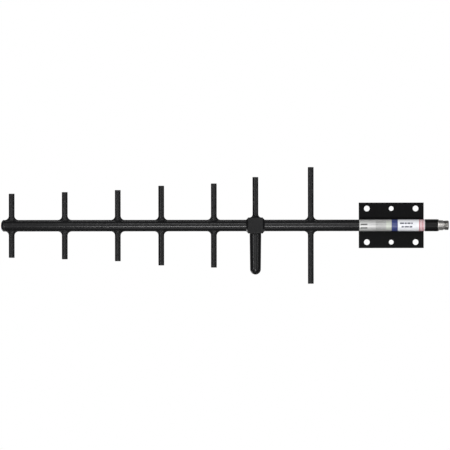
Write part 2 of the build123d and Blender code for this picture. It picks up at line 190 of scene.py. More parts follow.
class Recipe:
    """Writes the nodes of one material."""

    def __init__(self, name, **inputs):
        self.material = bpy.data.materials.new(name)
        self.material.use_nodes = True
        self.tree = self.material.node_tree
        self.shader = self.tree.nodes["Principled BSDF"]
        self.place = self.add("ShaderNodeTexCoord", output="Object")
        self.set(**inputs)

    def feed(self, socket, value):
        if isinstance(value, bpy.types.NodeSocket):
            self.tree.links.new(value, socket)
        elif socket.type == "RGBA":
            socket.default_value = (*value, 1.0)
        else:
            socket.default_value = value

    def set(self, **inputs):
        """Feeds the main shader. Base_Color stands for its input Base Color, and so on."""
        for name, value in inputs.items():
            self.feed(self.shader.inputs[name.replace("_", " ")], value)

    def add(self, kind, inputs=None, output=0, **settings):
        node = self.tree.nodes.new(kind)
        for name, value in settings.items():
            setattr(node, name, value)
        for key, value in (inputs or {}).items():
            self.feed(node.inputs[key], value)
        return node.outputs[output]

    def stretched(self, scale):
        """The object's own coordinates, scaled differently each way."""
        return self.add("ShaderNodeMapping", {"Vector": self.place, "Scale": scale})

    def noise(self, scale, detail=2.0, vector=None, distortion=0.0):
        """Noise from about 0 to 1. Scale is in features per metre."""
        inputs = {"Vector": vector or self.place, "Scale": scale, "Detail": detail, "Distortion": distortion}
        return self.add("ShaderNodeTexNoise", inputs)

    def span(self, value, low, high, to_low, to_high):
        """The value carried from one range to another, clamped."""
        inputs = {"Value": value, "From Min": low, "From Max": high, "To Min": to_low, "To Max": to_high}
        return self.add("ShaderNodeMapRange", inputs)

    def full(self, value):
        """Noise carried from its usual range to the whole of 0 to 1."""
        return self.span(value, 0.3, 0.7, 0.0, 1.0)

    def mix(self, factor, first, second, blend="MIX"):
        return self.add(
            "ShaderNodeMix", {0: factor, 6: first, 7: second}, output=2, data_type="RGBA", blend_type=blend
        )

    def math(self, operation, first, second=0.0):
        return self.add("ShaderNodeMath", {0: first, 1: second}, operation=operation)

    def bump(self, height, depth, onto=None):
        """A bump whose full height is depth millimetres."""
        inputs = {"Height": height, "Distance": depth * MM, "Strength": 1.0}
        if onto:
            inputs["Normal"] = onto
        normal = self.add("ShaderNodeBump", inputs)
        self.set(Normal=normal)
        return normal

    def axes(self):
        """The object's own X, Y and Z as three values."""
        split = self.tree.nodes.new("ShaderNodeSeparateXYZ")
        self.tree.links.new(self.place, split.inputs[0])
        return split.outputs[0], split.outputs[1], split.outputs[2]


def scaled(colour, factor):
    return tuple(channel * factor for channel in colour)


def coat(name, colour, roughness, level=0.5, peel=0.001, rough_spread=0.035):
    """Satin powder coat: fine orange peel, a slow drift of tone and faint handling marks."""
    recipe = Recipe(name, Specular_IOR_Level=level)
    drift = recipe.noise(22.0, 3.0)
    marks = recipe.noise(260.0, 4.0, distortion=0.6)
    tone = recipe.mix(recipe.full(drift), scaled(colour, 0.78), scaled(colour, 1.22))
    dusty = recipe.mix(recipe.span(marks, 0.56, 0.76, 0.0, 0.5), tone, scaled(colour, 2.4))
    rough = recipe.span(marks, 0.3, 0.7, roughness - rough_spread, roughness + rough_spread)
    recipe.set(Base_Color=dusty, Roughness=rough)
    peel_height = recipe.noise(1900.0, 2.0)
    grit = recipe.noise(7000.0, 1.0)
    first = recipe.bump(peel_height, peel)
    recipe.bump(grit, peel * 0.25, onto=first)
    return recipe.material


def metal(name, colour, roughness, stretch, depth=0.004, drift=0.1):
    """A turned, drawn or brushed metal. Stretch sets which way its fine lines run."""
    recipe = Recipe(name, Metallic=1.0)
    lines = recipe.noise(1.0, 3.0, vector=recipe.stretched(stretch))
    cloud = recipe.noise(180.0, 3.0)
    clouded = recipe.full(cloud)
    tone = recipe.mix(clouded, scaled(colour, 1 - drift), scaled(colour, 1 + drift / 2))
    recipe.set(
        Base_Color=recipe.mix(recipe.span(lines, 0.35, 0.65, 0.0, 0.4), tone, scaled(colour, 0.8)),
        Roughness=recipe.span(lines, 0.3, 0.7, roughness - 0.06, roughness + 0.08),
    )
    recipe.bump(lines, depth)
    return recipe.material


def plastic(name, colour, roughness, grain, depth, drift=0.12, level=0.5):
    """A moulded plastic or rubber with a fine grain and slight clouding."""
    recipe = Recipe(name, Specular_IOR_Level=level)
    cloud = recipe.noise(90.0, 3.0)
    fine = recipe.noise(grain, 2.0)
    clouded = recipe.full(cloud)
    tone = recipe.mix(clouded, scaled(colour, 1 - drift), scaled(colour, 1 + drift))
    recipe.set(Base_Color=tone, Roughness=recipe.span(fine, 0.3, 0.7, roughness - 0.05, roughness + 0.07))
    recipe.bump(fine, depth)
    return recipe.material


class Print(Recipe):
    """A label's print, drawn over the boom's front. X runs along it and the arc runs up, in mm."""

    def __init__(self, name, base, **inputs):
        super().__init__(name, **inputs)
        x, y, z = self.axes()
        self.along = self.math("MULTIPLY", x, 1 / MM)
        depth = self.math("MULTIPLY", self.math("SUBTRACT", y, BOOM_Y * MM), -1.0)
        self.up = self.math("MULTIPLY", self.math("ARCTAN2", z, depth), BOOM_RADIUS)
        self.colour = base

    def block(self, x_low, x_high, up_low, up_high):
        """1 inside a rectangle of the label and 0 outside."""
        inside = None
        for value, low, high in ((self.along, x_low, x_high), (self.up, up_low, up_high)):
            away = self.math("ABSOLUTE", self.math("SUBTRACT", value, (low + high) / 2))
            test = self.math("LESS_THAN", away, (high - low) / 2)
            inside = test if inside is None else self.math("MULTIPLY", inside, test)
        return inside

    def paint(self, colour, mask, strength=1.0):
        factor = self.math("MULTIPLY", mask, strength)
        self.colour = self.mix(factor, self.colour, colour)


BLACK = (0.0078, 0.0078, 0.0084)
COAT = coat("satin_black_coat", BLACK, 0.26, level=0.22)
WELD_COAT = coat("weld_black_coat", scaled(BLACK, 0.92), 0.34, level=0.22, peel=0.005)
BLOCK_COAT = coat("block_black_coat", scaled(BLACK, 1.1), 0.34, level=0.14)
# The plate's coat is the satin black darkened to under half: painted shade, standing in for the dark
# surroundings the plate reflects
PLATE_COAT_PAINTED_SHADE = coat("plate_black_coat_painted_shade", scaled(BLACK, 0.42), 0.34, level=0.05)
CAP_COAT = coat("cap_black_coat", BLACK, 0.36, level=0.22, peel=0.005)
COVER_PLASTIC = plastic("cover_black_plastic", (0.0070, 0.0070, 0.0075), 0.25, 2600.0, 0.002, level=0.24)
RUBBER = plastic("gasket_black_rubber", (0.012, 0.012, 0.012), 0.7, 3800.0, 0.02, level=0.3)
GOLD = metal("contact_gold", (0.85, 0.62, 0.25), 0.2, (5000.0, 80.0, 80.0))
BRASS = metal("turned_brass", (0.70, 0.50, 0.22), 0.3, (80.0, 80.0, 5000.0))
ALUMINIUM = metal("drawn_aluminium", (0.74, 0.75, 0.76), 0.34, (4500.0, 4500.0, 60.0))
STEEL = metal("plain_steel", (0.52, 0.52, 0.53), 0.3, (900.0, 900.0, 900.0))
SILVERED = metal("silvered_wire_metal", (0.82, 0.81, 0.78), 0.2, (300.0, 5000.0, 5000.0))
WHITE_BEAD = plastic("white_bead_plastic", (0.80, 0.80, 0.77), 0.42, 2500.0, 0.006, drift=0.04)
SPACER_PLASTIC = plastic("spacer_white_plastic", (0.76, 0.76, 0.72), 0.5, 1800.0, 0.01, drift=0.06)
JACKET = plastic("cable_brown_jacket", (0.30, 0.15, 0.07), 0.3, 900.0, 0.03, drift=0.2)
DIELECTRIC = plastic("cable_white_dielectric", (0.82, 0.82, 0.80), 0.45, 1500.0, 0.01, drift=0.05)


def sleeve_material():
    """Heat-shrunk sleeve: smooth, with faint lengthwise drawing lines."""
    recipe = Recipe("shrunk_black_sleeve", Specular_IOR_Level=0.15)
    colour = (0.0032, 0.0032, 0.0034)
    drawn = recipe.noise(1.0, 3.0, vector=recipe.stretched((60.0, 1400.0, 1400.0)))
    cloud = recipe.noise(140.0, 3.0)
    clouded = recipe.full(cloud)
    recipe.set(
        Base_Color=recipe.mix(clouded, scaled(colour, 0.8), scaled(colour, 1.25)),
        Roughness=recipe.span(drawn, 0.3, 0.7, 0.28, 0.42),
    )
    first = recipe.bump(drawn, 0.02)
    recipe.bump(recipe.noise(3200.0, 2.0), 0.008, onto=first)
    return recipe.material


def nickel_material():
    """Turned nickel plate, with painted shade that darkens the thread."""
    recipe = Recipe("nickel_plate", Metallic=1.0)
    turned_lines = recipe.noise(1.0, 3.0, vector=recipe.stretched((3500.0, 40.0, 40.0)))
    cloud = recipe.noise(180.0, 3.0)
    tone = recipe.mix(recipe.full(cloud), (0.70, 0.68, 0.65), (0.82, 0.80, 0.77))
    tone = recipe.mix(recipe.span(turned_lines, 0.35, 0.65, 0.0, 0.4), tone, (0.62, 0.61, 0.58))
    front = box("connector_shell")[1].x * MM
    # Painted shade: the thread's length is darkened, standing in for the shade between its turns
    thread = recipe.span(recipe.axes()[0], front - 8.6 * MM, front - 6.6 * MM, 0.0, 1.0)
    recipe.set(
        Base_Color=recipe.mix(thread, tone, (0.56, 0.56, 0.56), "MULTIPLY"),
        Roughness=recipe.span(turned_lines, 0.3, 0.7, 0.24, 0.38),
    )
    recipe.bump(turned_lines, 0.0002)
    return recipe.material


# Ruled lines of the silver label: height round the boom, start and end along it, and strength
RULED_LINES = [
    (10.4, 2.0, 43.0, 0.6),
    (7.4, 18.5, 40.0, 0.45),
    (4.6, 18.5, 43.0, 0.35),
    (1.4, 18.5, 31.0, 0.5),
    (-1.6, 18.5, 41.5, 0.3),
    (-4.6, 18.5, 36.0, 0.55),
    (-7.4, 18.5, 43.0, 0.4),
    (-10.6, 2.0, 50.0, 0.6),
]


def data_label_material():
    """A brushed silver label with a pale panel, two blank bars, ruled lines and a tinted end block, with a
    painted highlight across its middle and painted shading that lightens it towards its top and bottom.
    """
    label = Print("silver_label_print", (0.50, 0.50, 0.50), Metallic=0.25)
    brushed = label.noise(1.0, 3.0, vector=label.stretched((120.0, 2600.0, 2600.0)))
    streaks = label.full(brushed)
    label.colour = label.mix(streaks, (0.32, 0.32, 0.32), (0.45, 0.45, 0.44))
    # Painted shading: the label is darker across its middle and lighter towards its top and bottom round the
    # boom
    painted_shading_round_label = label.span(label.math("ABSOLUTE", label.up), 3.0, 10.0, 0.0, 1.0)
    label.colour = label.mix(painted_shading_round_label, label.colour, (1.35, 1.35, 1.35), "MULTIPLY")
    left, right = box("data_label")[0].x, box("data_label")[1].x
    label.paint((0.54, 0.54, 0.53), label.block(left + 0.6, left + 16.0, -8.6, 9.4))
    for height in (1.5, -4.3):
        label.paint((0.05, 0.05, 0.05), label.block(left + 2.2, left + 13.4, height - 1.2, height + 1.2), 0.9)
    for height, start, end, strength in RULED_LINES:
        ruled = label.block(left + start, left + end, height - 0.45, height + 0.45)
        label.paint((0.12, 0.12, 0.12), ruled, strength)
    # Painted highlight: a lighter patch across the label's middle, where its metal catches the light
    label.paint((0.74, 0.74, 0.73), label.block(left + 16.0, left + 27.0, -8.0, 8.0), 0.35)
    label.paint((0.62, 0.70, 0.56), label.block(right - 9.0, right - 0.8, -8.0, 8.5), 0.4)
    for edge in (-13.2, 13.2):
        label.paint((0.2, 0.2, 0.2), label.block(left + 0.8, right - 0.8, edge - 0.15, edge + 0.15), 0.6)
    label.set(Base_Color=label.colour, Roughness=label.span(brushed, 0.3, 0.7, 0.34, 0.46))
    label.bump(brushed, 0.003)
    return label.material


# Rows of blank dashes on the white label: start along it, height round the boom, and their lengths
DASH_ROWS = [
    (13.4, 3.4, (6.6, 3.4, 5.2, 2.4)),
    (16.0, -2.4, (3.8, 7.0, 4.6)),
]


def stripe_label_material():
    """A white label with a blue end band, blank dark dashes and four narrow red bars."""
    label = Print("white_label_print", (0.86, 0.87, 0.90), Specular_IOR_Level=0.45)
    cloud = label.noise(120.0, 2.0)
    label.colour = label.mix(label.full(cloud), (0.76, 0.77, 0.80), (0.82, 0.83, 0.86))
    left, right = box("stripe_label")[0].x, box("stripe_label")[1].x
    label.paint((0.036, 0.05, 0.18), label.block(left - 1.0, left + 9.8, -20.0, 20.0))
    for bar in range(4):
        low = right - 9.6 + 2.4 * bar
        label.paint((0.46, 0.07, 0.09), label.block(low, low + 1.3, -14.0, 14.0))
    for start, height, lengths in DASH_ROWS:
        for length in lengths:
            dash = label.block(left + start, left + start + length, height - 1.25, height + 1.25)
            label.paint((0.03, 0.035, 0.07), dash, 0.95)
            start += length + 1.1
    label.set(Base_Color=label.colour, Roughness=label.span(cloud, 0.3, 0.7, 0.28, 0.36))
    label.bump(label.noise(2400.0, 2.0), 0.004)
    return label.material


# ---------------------------------------------------------------- boom and cap

BOOM_FRONT = BOOM_LOW.x
BOOM_REAR = BOOM_HIGH.x
DIRECTOR_STATIONS = [middle(f"director_rod_{n}").x for n in range(1, 6)]
REFLECTOR_X = middle("reflector_rod").x
DRIVEN_X = middle("driven_rod_upper").x
BLOCK_LOW, BLOCK_HIGH = box("feed_block")
BLOCK_TOP = BLOCK_HIGH.z
CAP_RIM = 1.7


def build_boom():
    outline = softened([
        (BOOM_FRONT, BOOM_BORE, 0.15),
        (BOOM_REAR, BOOM_BORE, 0.15),
        (BOOM_REAR, BOOM_RADIUS, 0.3),
        (BOOM_FRONT, BOOM_RADIUS, 0.35),
    ])
    boom = add_piece("boom_tube_body", *turned(outline, round_boom, 128), COAT, "black_coat", ["boom_tube"])
    past_wall = 12.0
    holes = [(x, ROD_RADIUS + 0.05, -past_wall, past_wall) for x in DIRECTOR_STATIONS + [REFLECTOR_X]]
    holes.append((DRIVEN_X, ROD_RADIUS + 0.05, 0.0, past_wall))
    for node in ("driven_rod_lower", "coax_ferrule", "bushing_screws"):
        low, high = box(node)
        reach = past_wall if node == "bushing_screws" else 0.0
        holes.append(((low.x + high.x) / 2, (high.x - low.x) / 2 + 0.02, -past_wall, reach))
    points = []
    faces = []
    for x, radius, low, high in holes:
        bar = [(low, 0.0), (low, radius), (high, radius), (high, 0.0)]
        bar_points, bar_faces = turned(bar, round_upright(x), 64)
        faces += [tuple(index + len(points) for index in face) for face in bar_faces]
        points += bar_points
    cut_away(boom, points, faces)


def build_cap():
    """A low dome with a rim, a step under the rim and a spigot inside the boom."""
    low, high = box("boom_front_cap")
    base = BOOM_FRONT - CAP_RIM
    steps = 24
    dome = []
    for k in range(steps):
        turn = pi / 2 * k / steps
        dome.append((base - (base - low.x) * sin(turn), BOOM_RADIUS * cos(turn)))
    dome.append((low.x, 0.0))
    rest = [
        (high.x, 0.0),
        (high.x, BOOM_BORE - 0.5),
        (high.x - 0.4, BOOM_BORE - 0.05),
        (BOOM_FRONT, BOOM_BORE - 0.05),
        (BOOM_FRONT, BOOM_RADIUS - 0.35),
        (BOOM_FRONT - 0.1, BOOM_RADIUS - 0.12),
        (BOOM_FRONT - 0.3, BOOM_RADIUS),
    ]
    mesh = turned(dome + rest, round_boom, 128)
    add_piece("front_cap_body", *mesh, CAP_COAT, "black_coat", ["boom_front_cap"], 50)


# ---------------------------------------------------------------- welds

# Fillet radius and ripple count of the beads round an element, the driven rod and the block's ends
ELEMENT_LEG = 6.2
ELEMENT_DIMES = 30
DRIVEN_LEG = 5.0
DRIVEN_DIMES = 28
BLOCK_LEG = 3.0
BLOCK_DIMES = 42
RIPPLE_HEIGHT = 0.2
STITCH_LENGTH = 24.0
STITCH_DIMES = 15


def slide(first, second, t):
    """The direction part of the way round from one unit direction to another."""
    turn = acos(max(-1.0, min(1.0, first.dot(second))))
    return (first * sin((1 - t) * turn) + second * sin(t * turn)) / sin(turn)


def ripple(angle, t, dimes, seed):
    """Height of a stack of weld puddles, from 0 in the valleys to 1 on the crowns."""
    bow = 1.5 * (2 * t - 1) ** 2
    phase = angle / tau * dimes + bow + 0.12 * noise.noise(Vector((3 * cos(angle), 3 * sin(angle), seed)))
    part = phase % 1.0
    crown = 1 - abs(2 * part - 1) ** 2.2
    return crown * sin(pi * min(1.0, max(0.0, t))) ** 0.6


def weld_round(rod_radius, leg, base, seed, dimes, amplitude, fullness=0.0, rows=14):
    """A weld bead round a bar that stands on a drum or on a flat face.

    Base is ("drum", radius) or ("face", height). Gives points (u, v, w), with w up the bar."""
    kind, size = base
    columns = dimes * 9
    points = []
    for j in range(columns):
        angle = tau * j / columns
        wander = noise.noise(Vector((1.6 * cos(angle), 1.6 * sin(angle), seed)))
        fillet = leg * (1 + 0.05 * wander)
        across = Vector((cos(angle), sin(angle), 0))
        centre = across * (rod_radius + fillet)
        if kind == "drum":
            centre.z = sqrt((size + fillet) ** 2 - centre.y ** 2)
            to_base = -Vector((0, centre.y, centre.z)) / (size + fillet)
            root = sqrt(size ** 2 - (rod_radius * sin(angle)) ** 2)
        else:
            centre.z = size + fillet
            to_base = Vector((0, 0, -1))
            root = size
        toe_on_rod = centre - across * fillet
        toe_on_base = centre + to_base * fillet
        for k in range(rows + 1):
            t = k / rows
            heading = slide(-across, to_base, t)
            rise = amplitude * ripple(angle, t, dimes, seed)
            grain = 0.03 * noise.noise(Vector((angle * 12, t * 9, seed + 5)))
            if k in (0, rows):
                rise = grain = -0.06
            hollow = centre + heading * (fillet - rise - grain)
            chord = toe_on_rod.lerp(toe_on_base, t)
            points.append(hollow.lerp(chord, fullness * sin(pi * t)))
        points.append(across * (rod_radius - 0.35) + Vector((0, 0, root - 0.35)))
    return points, grid_faces(columns, rows + 2)


def joined(meshes):
    """Several (points, faces) as one."""
    points = []
    faces = []
    for more_points, more_faces in meshes:
        faces += [tuple(index + len(points) for index in face) for face in more_faces]
        points += [tuple(point) for point in more_points]
    return points, faces


def element_weld(x, seed):
    """The beads above and below the boom at one element."""
    beads = []
    for side in (-1, 1):
        drum = ("drum", BOOM_RADIUS)
        own_seed = seed + 3.7 * side
        points, faces = weld_round(ROD_RADIUS, ELEMENT_LEG, drum, own_seed, ELEMENT_DIMES, RIPPLE_HEIGHT)
        beads.append(([(x + p.x, BOOM_Y + p.y, side * p.z) for p in points], faces))
    return joined(beads)


def build_element_welds():
    for number, x in enumerate(DIRECTOR_STATIONS, 1):
        node = f"director_welds_{number}"
        beads = element_weld(x, 11.0 * number)
        add_piece(f"director_{number}_beads", *beads, WELD_COAT, "black_coat", [node], 55)
    reflector = element_weld(REFLECTOR_X, 91.0)
    add_piece("reflector_beads", *reflector, WELD_COAT, "black_coat", ["reflector_welds"], 55)


def build_block_welds():
    """The bead round the driven rod on the block, and the two round the boom at its ends."""
    on_top = ("face", BLOCK_TOP)
    points, faces = weld_round(ROD_RADIUS, DRIVEN_LEG, on_top, 47.0, DRIVEN_DIMES, RIPPLE_HEIGHT)
    standing = [(DRIVEN_X + p.x, BOOM_Y + p.y, p.z) for p in points]
    add_piece("driven_rod_bead", standing, faces, WELD_COAT, "black_coat", ["driven_rod_weld"], 55)
    beads = []
    for side, face in ((-1, BLOCK_LOW.x), (1, BLOCK_HIGH.x)):
        points, faces = weld_round(
            BOOM_RADIUS, BLOCK_LEG, ("face", 0.0), 60.0 + side, BLOCK_DIMES, 0.22, fullness=0.9, rows=10
        )
        beads.append(([(face + side * p.z, BOOM_Y + p.x, p.y) for p in points], faces))
    add_piece("feed_block_beads", *joined(beads), WELD_COAT, "black_coat", ["feed_block_welds"], 55)


def build_plate_welds():
    """Four stitch beads where the boom meets the plate."""
    plate_face = box("mounting_plate")[0].y
    low, high = box("plate_welds")
    rows = 8
    columns = STITCH_DIMES * 8
    # The section's corners, just inside the plate and the boom
    toe_on_plate = Vector((0, plate_face + 0.05, high.z))
    toe_on_boom = Vector((0, plate_face - 3.4, 7.3))
    root = Vector((0, plate_face + 0.05, 3.6))
    outward = Vector((0, -1.1, 3.4)).normalized()
    beads = []
    for side in (-1, 1):
        for centre in (low.x + STITCH_LENGTH / 2, high.x - STITCH_LENGTH / 2):
            points = []
            for j in range(columns + 1):
                along = j / columns
                ends = min(1.0, 8 * min(along, 1 - along) + 0.35) ** 0.5
                x = centre + STITCH_LENGTH * (along - 0.5)
                for k in range(rows + 1):
                    t = k / rows
                    puddles = RIPPLE_HEIGHT * ripple(tau * along, t, STITCH_DIMES, centre + side)
                    lift = 0.35 * sin(pi * t) + puddles
                    point = toe_on_boom.lerp(toe_on_plate, t) + outward * lift
                    point = root.lerp(point, ends)
                    points.append((x, point.y, side * point.z))
                inside = Vector((0, plate_face - 3.0, 7.0))
                points.append((x, root.lerp(inside, 0.25 * ends).y, side * root.z))
            width = rows + 2
            faces = grid_faces(columns + 1, width, close_rows=False)
            faces.append(tuple(range(width)))
            faces.append(tuple(columns * width + k for k in reversed(range(width))))
            beads.append((points, faces))
    add_piece("plate_stitch_beads", *joined(beads), WELD_COAT, "black_coat", ["plate_welds"], 55)


# ---------------------------------------------------------------- plate


def build_plate():
    """The plate with broken edges and drilled holes, from a filled outline."""
    low, high = box("mounting_plate")
    edge = 0.35
    curve = bpy.data.curves.new("plate_outline", "CURVE")
    curve.dimensions = "2D"
    curve.fill_mode = "BOTH"
    curve.extrude = ((high.y - low.y) / 2 - edge) * MM
    curve.bevel_depth = edge * MM
    curve.bevel_resolution = 3
    curve.offset = -edge * MM
    loops = [[(low.x, low.z), (high.x, low.z), (high.x, high.z), (low.x, high.z)]]
    for mount in frame["record"]["mounts"]:
        if mount["kind"] == "bolt_pattern":
            loops += [hole_loop(x, z, radius) for x, z, radius in mount_holes(mount)]
    for loop in loops:
        spline = curve.splines.new("POLY")
        spline.use_cyclic_u = True
        spline.points.add(len(loop) - 1)
        for point, (x, z) in zip(spline.points, loop):
            point.co = (x * MM, z * MM, 0, 1)
    drawn = bpy.data.objects.new("plate_outline", curve)
    bpy.context.scene.collection.objects.link(drawn)
    upright = Matrix.Rotation(radians(90), 4, "X")
    drawn.matrix_world = Matrix.Translation((0, (low.y + high.y) / 2 * MM, 0)) @ upright
    bpy.context.view_layer.update()
    mesh = bpy.data.meshes.new_from_object(drawn.evaluated_get(bpy.context.evaluated_depsgraph_get()))
    mesh.transform(drawn.matrix_world)
    bpy.data.objects.remove(drawn)
    tidy_mesh(mesh, 60)
    mesh.materials.clear()
    mesh.materials.append(PLATE_COAT_PAINTED_SHADE)
    plate = bpy.data.objects.new("mounting_plate_body", mesh)
    bpy.context.scene.collection.objects.link(plate)
    weighted = plate.modifiers.new("flat faces", "WEIGHTED_NORMAL")
    weighted.keep_sharp = True
    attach(plate, "root")
    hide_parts("mounting_plate")


def mount_holes(mount):
    """The (x, z, radius) of a bolt pattern's holes, in millimetres."""
    dims = mount["dims"]
    half_x = dims.get("spacing_x_mm", 0.0) / 2
    half_z = dims["spacing_y_mm"] / 2
    columns = (-half_x, half_x) if half_x else (0.0,)
    return [(x, z, dims["hole_r_mm"]) for x in columns for z in (-half_z, half_z)]


def hole_loop(x, z, radius, segments=64):
    """A hole's outline, running the other way round from the plate's."""
    turns = [-tau * k / segments for k in range(segments)]
    return [(x + radius * cos(turn), z + radius * sin(turn)) for turn in turns]


# ---------------------------------------------------------------- cover and gasket

COVER_TOP_RADIUS = 9.45
COVER_END_RADIUS = 8.72
COVER_WALL = 1.2
GASKET_BORE = 8.15


def round_end(centre, radius, steps):
    """The points between the side and the tip of a round lower end."""
    turns = [pi / 2 * k / steps for k in range(1, steps)]
    return [(centre - radius * sin(turn), radius * cos(turn)) for turn in turns]


def build_cover():
    """A moulded cover with a draft, a round end and a faint parting line down both sides."""
    low, high = box("gamma_cover")
    centre = low.z + COVER_END_RADIUS
    inner = COVER_END_RADIUS - COVER_WALL
    outline = [(high.z, COVER_TOP_RADIUS - COVER_WALL + 0.1), (high.z, COVER_TOP_RADIUS - 0.25)]
    outline += [(high.z - 0.1, COVER_TOP_RADIUS - 0.08), (high.z - 0.3, COVER_TOP_RADIUS)]
    outline += [(centre, COVER_END_RADIUS)]
    outline += round_end(centre, COVER_END_RADIUS, 16)
    outline += [(low.z, 0.0), (low.z + COVER_WALL, 0.0)]
    outline += reversed(round_end(centre, inner, 12))
    outline += [(centre, inner)]
    outline = divided(outline, 1.5)

    def parting(along, radius, angle):
        """A thin raised line where the mould's halves met, towards +X and -X."""
        away = min(abs(angle - pi), angle, tau - angle) * radius
        outside = radius > COVER_TOP_RADIUS - COVER_WALL + 0.2 or along < centre
        lift = 0.09 * max(0.0, 1 - away / 0.35) if outside and along < high.z - 0.5 else 0.0
        return along, radius + lift * min(1.0, radius / 3)

    mesh = turned(outline, round_upright(DRIVEN_X), 160, parting)
    add_piece("gamma_cover_shell", *mesh, COVER_PLASTIC, "black_cover", ["gamma_cover"], 50)
    low, high = box("cover_gasket")
    outline = softened([
        (low.z, GASKET_BORE, 0.0),
        (high.z, GASKET_BORE, 0.0),
        (high.z, COVER_TOP_RADIUS, 0.3),
        (low.z, COVER_TOP_RADIUS, 0.3),
    ])
    mesh = turned(outline, round_upright(DRIVEN_X), 96)
    add_piece("cover_gasket_ring", *mesh, RUBBER, "black_rubber", ["cover_gasket"])


# ---------------------------------------------------------------- jack and sleeve

JACK_SPIGOT = 6.35
JACK_BODY = 8.25
JACK_NECK = 7.4
JACK_THREAD = 7.95
JACK_BORE = 4.05
JACK_CHAMFER = 1.2
JACK_MOUTH = 6.6
JACK_FLANGE_END = BOOM_REAR + 2.4
JACK_FRONT = box("connector_shell")[1].x
JACK_BODY_END = JACK_FRONT - 9.3
THREAD_START = JACK_FRONT - 7.2
JACK_BORE_END = JACK_FRONT - 27.4
CABLE_HOLE = 1.25
THREAD_PITCH = 25.4 / 24
THREAD_DEPTH = 0.6


def build_jack():
    """The jack's shell: a flange on the boom's end, its body, and its thread, 24 turns to the inch."""
    rear = box("connector_shell")[0].x
    outline = softened([
        (rear, CABLE_HOLE, 0.0),
        (rear, JACK_SPIGOT, 0.2),
        (BOOM_REAR, JACK_SPIGOT, 0.0),
        (BOOM_REAR, BOOM_RADIUS, 0.1),
        (JACK_FLANGE_END, BOOM_RADIUS, 0.35),
        (JACK_FLANGE_END, JACK_BODY, 0.2),
        (JACK_BODY_END, JACK_BODY, 0.4),
        (JACK_BODY_END, JACK_NECK, 0.15),
        (THREAD_START, JACK_NECK, 0.15),
    ], 3)[:-4]
    steps = 18 * 7
    length = JACK_FRONT - 0.02 - THREAD_START
    outline += [(THREAD_START + length * k / steps, JACK_THREAD) for k in range(steps + 1)]
    outline += [
        (JACK_FRONT, JACK_MOUTH),
        (JACK_FRONT, JACK_BORE + 0.5),
        (JACK_FRONT - 0.15, JACK_BORE + 0.3),
        (JACK_FRONT - 0.5, JACK_BORE),
        (JACK_BORE_END, JACK_BORE),
        (JACK_BORE_END, CABLE_HOLE),
    ]

    def threaded(along, radius, angle):
        """Cuts the helix into the thread's length, with a lead-in at both ends."""
        if radius != JACK_THREAD:
            return along, radius
        part = (along / THREAD_PITCH - angle / tau) % 1.0
        groove = min(1.0, max(0.0, (abs(2 * part - 1) - 0.16) / 0.68))
        start = max(0.0, THREAD_START + 0.7 - along)
        lead = max(0.0, along - (JACK_FRONT - JACK_CHAMFER))
        return along, min(radius - THREAD_DEPTH * groove, radius - start, radius - lead)

    mesh = turned(outline, round_boom, 128, threaded)
    add_piece("jack_shell_body", *mesh, nickel_material(), "nickel", ["connector_shell"], 35)


def build_sleeve():
    """The shrunk sleeve, with faint waves where it was drawn down over the boom's end."""
    low, high = box("weather_sleeve")
    outer = BOOM_RADIUS + 0.45
    outline = softened([
        (low.x, BOOM_RADIUS + 0.02, 0.0),
        (low.x, outer, 0.2),
        (high.x, outer, 0.22),
        (high.x, BOOM_RADIUS + 0.02, 0.0),
    ])
    outline = divided(outline, 0.6)

    def waves(along, radius, angle):
        """Lowers the skin in slow waves, and in a ring over the boom's end."""
        if radius < BOOM_RADIUS + 0.2:
            return along, radius
        round_it = Vector((2.2 * cos(angle), 2.2 * sin(angle), along * 0.09))
        fine = Vector((7 * cos(angle), 7 * sin(angle), along * 0.25))
        drop = 0.09 * abs(noise.noise(round_it)) + 0.04 * abs(noise.noise(fine))
        ring = 0.07 * max(0.0, 1 - abs(along - BOOM_REAR + 0.4) / 1.2)
        return along, radius - drop - ring

    mesh = turned(outline, round_boom, 144, waves)
    add_piece("weather_sleeve_skin", *mesh, sleeve_material(), "black_sleeve", ["weather_sleeve"], 55)


# ---------------------------------------------------------------- labels


def build_label(name, node, slot, material):
    """A thin label with rounded corners, wrapped round the boom's front."""
    low, high = box(node)
    half_angle = radians(100.0)
    corner = 2.0
    columns = 60
    rows = 72
    skin = []
    for i in range(columns + 1):
        x = low.x + (high.x - low.x) * i / columns
        inset = min(x - low.x, high.x - x)
        short = corner - sqrt(max(0.0, corner ** 2 - (corner - inset) ** 2)) if inset < corner else 0.0
        reach = half_angle - short / BOOM_RADIUS
        skin.append([(x, -reach + 2 * reach * j / rows) for j in range(rows + 1)])
    points = []
    for thickness in (0.12, 0.01):
        for column in skin:
            points += [round_boom(x, BOOM_RADIUS + thickness, angle) for x, angle in column]
    width = rows + 1
    sheet = (columns + 1) * width
    faces = grid_faces(columns + 1, width, False, False)
    faces += [tuple(sheet + index for index in reversed(face)) for face in faces]
    rim = list(range(width))
    rim += [i * width + rows for i in range(1, columns + 1)]
    rim += [columns * width + j for j in range(rows - 1, -1, -1)]
    rim += [i * width for i in range(columns - 1, 0, -1)]
    for here, after in zip(rim, rim[1:] + rim[:1]):
        faces.append((here, after, sheet + after, sheet + here))
    add_piece(name, points, faces, material, slot, [node], 60)


# ---------------------------------------------------------------- CAD nodes that stay


def finish_node(node, material):
    """A CAD node that is shown as it is, with its own material."""
    NODES[node].data.materials.clear()
    NODES[node].data.materials.append(material)


